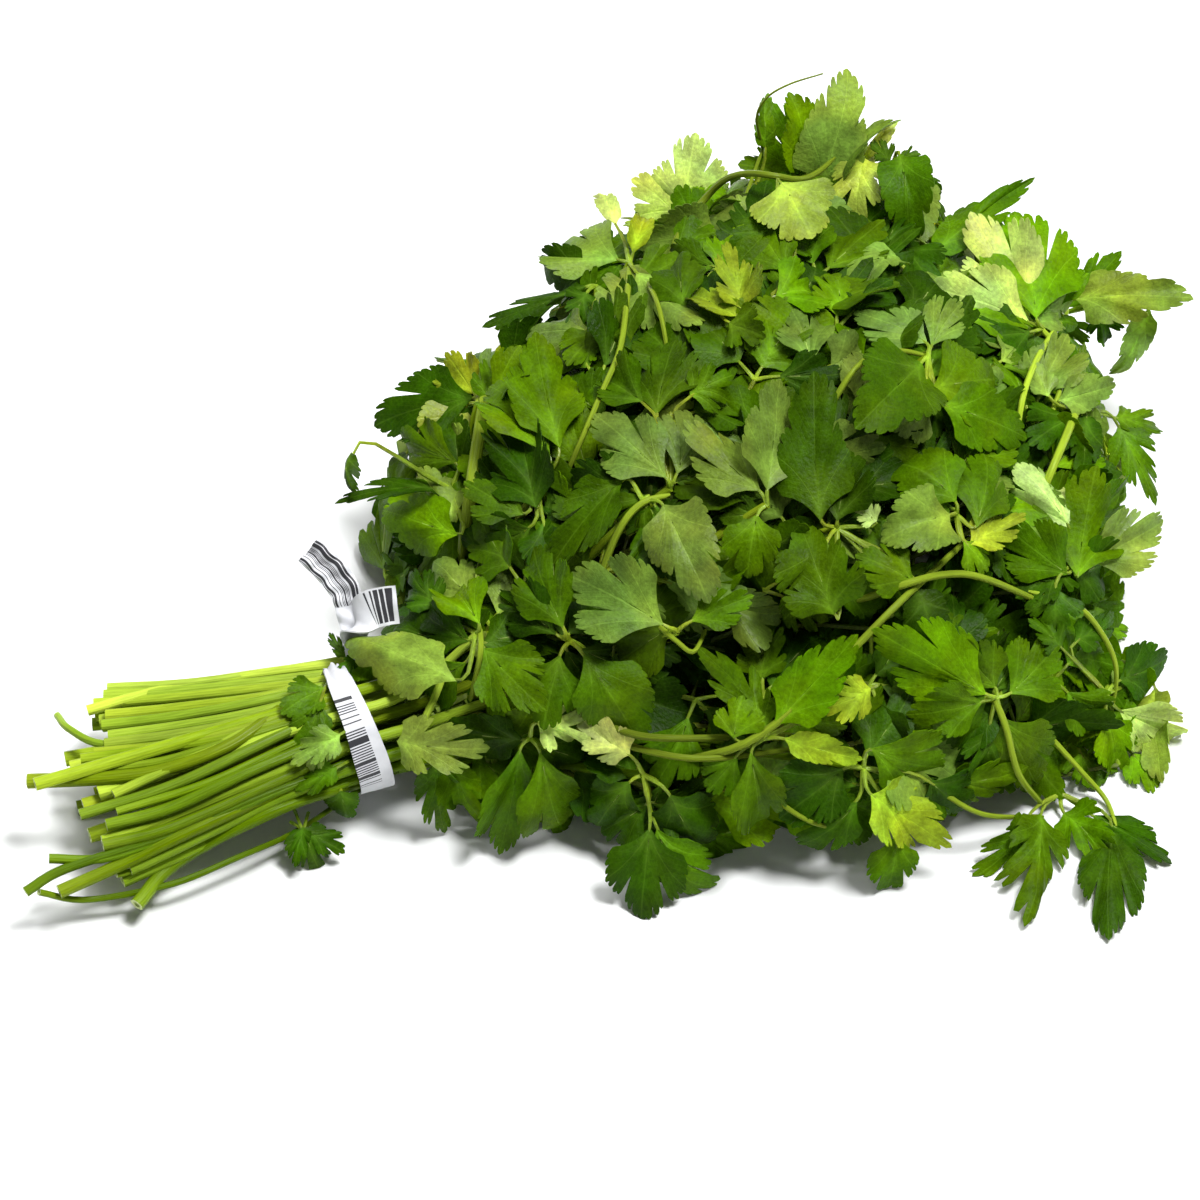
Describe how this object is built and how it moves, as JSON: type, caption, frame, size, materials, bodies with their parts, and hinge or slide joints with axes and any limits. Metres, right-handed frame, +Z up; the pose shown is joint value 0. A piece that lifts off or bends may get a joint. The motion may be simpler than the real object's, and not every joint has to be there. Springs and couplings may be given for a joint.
{
  "type": "coriander bunch",
  "caption": "Bunch of fresh coriander lying on its side: thin green stems held by a paper twist tie, opening into a loose heap of lobed, toothed leaves.",
  "frame": {"origin": "middle of the footprint on the surface that the bunch lies on", "axes": "+X from the cut stem ends towards the leaf tips, +Y towards the back of the heap of leaves, +Z up"},
  "size_m": [0.3478, 0.267, 0.106],
  "materials": {
    "leaf_pale": "satin",
    "leaf_bright": "satin",
    "leaf_green": "satin",
    "leaf_dark": "satin",
    "stem": "satin",
    "tie_paper": "matte"
  },
  "bodies": {
    "root": {"twist_tie": "tie_paper", "stem_01": "stem", "stem_02": "stem", "stem_03": "stem", "stem_04": "stem", "stem_05": "stem", "stem_06": "stem", "stem_07": "stem", "stem_08": "stem", "stem_09": "stem", "stem_10": "stem", "stem_11": "stem", "stem_12": "stem", "stem_13": "stem", "stem_14": "stem", "stem_15": "stem", "stem_16": "stem", "stem_17": "stem", "stem_18": "stem", "stem_19": "stem", "stem_20": "stem", "stem_21": "stem", "stem_22": "stem", "leaf_top_spray": "leaf_pale", "leaf_rolled": "leaf_green", "leaf_pale_top": "leaf_pale", "leaf_spike": "leaf_green", "leaf_lobed_left": "leaf_dark", "leaf_folded_top": "leaf_bright", "leaf_vivid_crown": "leaf_green", "leaf_back_fronds": "leaf_dark", "leaf_drooping_back": "leaf_dark", "leaf_bright_fan": "leaf_bright", "leaf_far_right": "leaf_pale", "leaf_arched": "leaf_pale", "leaf_hanging_right": "leaf_dark", "leaf_right_cluster": "leaf_green", "leaf_middle_fans": "leaf_green", "leaf_long_dark": "leaf_dark", "leaf_grey_middle": "leaf_pale", "leaf_grey_upper": "leaf_pale", "leaf_curved_middle": "leaf_green", "leaf_pale_fan": "leaf_pale", "leaf_olive_middle": "leaf_green", "leaf_near_tie": "leaf_pale", "leaf_thick_stalk": "leaf_dark", "leaf_left_droop": "leaf_green", "leaf_dark_middle": "leaf_dark", "leaf_front_of_tie": "leaf_pale", "leaf_front_cluster": "leaf_green", "leaf_front_hanging": "leaf_dark", "leaf_front_bright": "leaf_bright", "leaf_front_right": "leaf_bright", "leaf_right_middle": "leaf_green", "leaf_hanging_front": "leaf_dark", "leaf_right_edge": "leaf_green", "leaf_under": "leaf_dark", "leaf_back_left": "leaf_green", "leaf_back_right": "leaf_green"}
  },
  "joints": []
}
